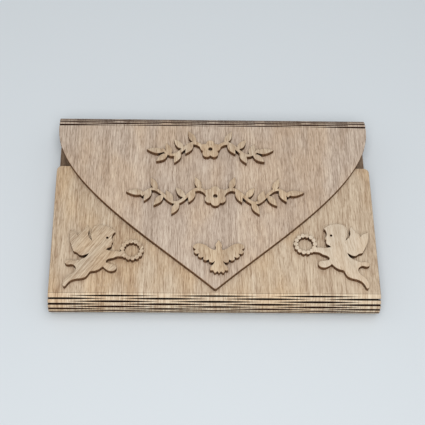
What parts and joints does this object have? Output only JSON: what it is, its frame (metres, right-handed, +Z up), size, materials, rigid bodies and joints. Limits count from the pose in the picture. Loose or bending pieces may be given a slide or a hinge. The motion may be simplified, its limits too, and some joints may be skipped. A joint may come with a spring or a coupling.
{
  "type": "wooden money envelope",
  "caption": "Laser-cut plywood envelope for banknotes: wrapped pocket with a living-hinge bottom, slatted hinge, pointed roll-open flap and glued cherub, garland and dove cut-outs.",
  "frame": {"origin": "under the middle of the closed envelope, on the surface its back lies on", "axes": "+X to the right along the width, +Y from the bottom hinge to the flap hinge, +Z up out of the front with the flap"},
  "size_m": [0.18, 0.1232, 0.0223],
  "materials": {
    "sheet": "matte",
    "hinge": "matte",
    "spacer": "matte",
    "ornament": "matte",
    "cherub": "matte"
  },
  "bodies": {
    "envelope": {"back_panel": "sheet", "bottom_hinge": "hinge", "front_panel": "sheet", "spacer_left_1": "spacer", "spacer_left_2": "spacer", "spacer_left_3": "spacer", "spacer_right_1": "spacer", "spacer_right_2": "spacer", "spacer_right_3": "spacer", "left_cherub": "cherub", "right_cherub": "cherub"},
    "hinge_slat_01": {"hinge_slat_01": "hinge"},
    "hinge_slat_02": {"hinge_slat_02": "hinge"},
    "hinge_slat_03": {"hinge_slat_03": "hinge"},
    "hinge_slat_04": {"hinge_slat_04": "hinge"},
    "hinge_slat_05": {"hinge_slat_05": "hinge"},
    "hinge_slat_06": {"hinge_slat_06": "hinge"},
    "hinge_slat_07": {"hinge_slat_07": "hinge"},
    "hinge_slat_08": {"hinge_slat_08": "hinge"},
    "hinge_slat_09": {"hinge_slat_09": "hinge"},
    "hinge_slat_10": {"hinge_slat_10": "hinge"},
    "hinge_slat_11": {"hinge_slat_11": "hinge"},
    "hinge_slat_12": {"hinge_slat_12": "hinge"},
    "hinge_slat_13": {"hinge_slat_13": "hinge"},
    "hinge_slat_14": {"hinge_slat_14": "hinge"},
    "hinge_slat_15": {"hinge_slat_15": "hinge"},
    "hinge_slat_16": {"hinge_slat_16": "hinge"},
    "hinge_slat_17": {"hinge_slat_17": "hinge"},
    "hinge_slat_18": {"hinge_slat_18": "hinge"},
    "hinge_slat_19": {"hinge_slat_19": "hinge"},
    "flap": {"flap": "sheet", "upper_garland": "ornament", "lower_garland": "ornament", "dove": "ornament"}
  },
  "joints": [
    {"name": "flap_bend_01", "type": "hinge", "parent": "envelope", "child": "hinge_slat_01", "pos_m": [0, 0.05268, 0.0015], "axis": [-1, 0, 0], "range_deg": [0, 8.25]},
    {"name": "flap_bend_02", "type": "hinge", "parent": "envelope", "child": "hinge_slat_02", "pos_m": [0, 0.05331, 0.00155], "axis": [-1, 0, 0], "range_deg": [0, 16.5]},
    {"name": "flap_bend_03", "type": "hinge", "parent": "envelope", "child": "hinge_slat_03", "pos_m": [0, 0.05393, 0.00164], "axis": [-1, 0, 0], "range_deg": [0, 24.75]},
    {"name": "flap_bend_04", "type": "hinge", "parent": "envelope", "child": "hinge_slat_04", "pos_m": [0, 0.05455, 0.00177], "axis": [-1, 0, 0], "range_deg": [0, 33]},
    {"name": "flap_bend_05", "type": "hinge", "parent": "envelope", "child": "hinge_slat_05", "pos_m": [0, 0.05517, 0.00193], "axis": [-1, 0, 0], "range_deg": [0, 41.25]},
    {"name": "flap_bend_06", "type": "hinge", "parent": "envelope", "child": "hinge_slat_06", "pos_m": [0, 0.05576, 0.00212], "axis": [-1, 0, 0], "range_deg": [0, 49.5]},
    {"name": "flap_bend_07", "type": "hinge", "parent": "envelope", "child": "hinge_slat_07", "pos_m": [0, 0.05635, 0.00235], "axis": [-1, 0, 0], "range_deg": [0, 57.75]},
    {"name": "flap_bend_08", "type": "hinge", "parent": "envelope", "child": "hinge_slat_08", "pos_m": [0, 0.05692, 0.00261], "axis": [-1, 0, 0], "range_deg": [0, 66]},
    {"name": "flap_bend_09", "type": "hinge", "parent": "envelope", "child": "hinge_slat_09", "pos_m": [0, 0.05748, 0.0029], "axis": [-1, 0, 0], "range_deg": [0, 74.25]},
    {"name": "flap_bend_10", "type": "hinge", "parent": "envelope", "child": "hinge_slat_10", "pos_m": [0, 0.05801, 0.00322], "axis": [-1, 0, 0], "range_deg": [0, 82.5]},
    {"name": "flap_bend_11", "type": "hinge", "parent": "hinge_slat_10", "child": "hinge_slat_11", "pos_m": [0, 0.06009, 0.01018], "axis": [-1, 0, 0], "range_deg": [0, 8.25]},
    {"name": "flap_bend_12", "type": "hinge", "parent": "hinge_slat_10", "child": "hinge_slat_12", "pos_m": [0, 0.06004, 0.01081], "axis": [-1, 0, 0], "range_deg": [0, 16.5]},
    {"name": "flap_bend_13", "type": "hinge", "parent": "hinge_slat_10", "child": "hinge_slat_13", "pos_m": [0, 0.05995, 0.01144], "axis": [-1, 0, 0], "range_deg": [0, 24.75]},
    {"name": "flap_bend_14", "type": "hinge", "parent": "hinge_slat_10", "child": "hinge_slat_14", "pos_m": [0, 0.05983, 0.01206], "axis": [-1, 0, 0], "range_deg": [0, 33]},
    {"name": "flap_bend_15", "type": "hinge", "parent": "hinge_slat_10", "child": "hinge_slat_15", "pos_m": [0, 0.05967, 0.01267], "axis": [-1, 0, 0], "range_deg": [0, 41.25]},
    {"name": "flap_bend_16", "type": "hinge", "parent": "hinge_slat_10", "child": "hinge_slat_16", "pos_m": [0, 0.05947, 0.01327], "axis": [-1, 0, 0], "range_deg": [0, 49.5]},
    {"name": "flap_bend_17", "type": "hinge", "parent": "hinge_slat_10", "child": "hinge_slat_17", "pos_m": [0, 0.05925, 0.01386], "axis": [-1, 0, 0], "range_deg": [0, 57.75]},
    {"name": "flap_bend_18", "type": "hinge", "parent": "hinge_slat_10", "child": "hinge_slat_18", "pos_m": [0, 0.05899, 0.01443], "axis": [-1, 0, 0], "range_deg": [0, 66]},
    {"name": "flap_bend_19", "type": "hinge", "parent": "hinge_slat_10", "child": "hinge_slat_19", "pos_m": [0, 0.0587, 0.01498], "axis": [-1, 0, 0], "range_deg": [0, 74.25]},
    {"name": "flap_bend_20", "type": "hinge", "parent": "hinge_slat_10", "child": "flap", "pos_m": [0, 0.05838, 0.01552], "axis": [-1, 0, 0], "range_deg": [0, 82.5]}
  ],
  "couplings": [
    {"joint": "flap_bend_01", "follows": "flap_bend_20", "ratio": 0.1},
    {"joint": "flap_bend_02", "follows": "flap_bend_20", "ratio": 0.2},
    {"joint": "flap_bend_03", "follows": "flap_bend_20", "ratio": 0.3},
    {"joint": "flap_bend_04", "follows": "flap_bend_20", "ratio": 0.4},
    {"joint": "flap_bend_05", "follows": "flap_bend_20", "ratio": 0.5},
    {"joint": "flap_bend_06", "follows": "flap_bend_20", "ratio": 0.6},
    {"joint": "flap_bend_07", "follows": "flap_bend_20", "ratio": 0.7},
    {"joint": "flap_bend_08", "follows": "flap_bend_20", "ratio": 0.8},
    {"joint": "flap_bend_09", "follows": "flap_bend_20", "ratio": 0.9},
    {"joint": "flap_bend_10", "follows": "flap_bend_20", "ratio": 1},
    {"joint": "flap_bend_11", "follows": "flap_bend_20", "ratio": 0.1},
    {"joint": "flap_bend_12", "follows": "flap_bend_20", "ratio": 0.2},
    {"joint": "flap_bend_13", "follows": "flap_bend_20", "ratio": 0.3},
    {"joint": "flap_bend_14", "follows": "flap_bend_20", "ratio": 0.4},
    {"joint": "flap_bend_15", "follows": "flap_bend_20", "ratio": 0.5},
    {"joint": "flap_bend_16", "follows": "flap_bend_20", "ratio": 0.6},
    {"joint": "flap_bend_17", "follows": "flap_bend_20", "ratio": 0.7},
    {"joint": "flap_bend_18", "follows": "flap_bend_20", "ratio": 0.8},
    {"joint": "flap_bend_19", "follows": "flap_bend_20", "ratio": 0.9}
  ]
}
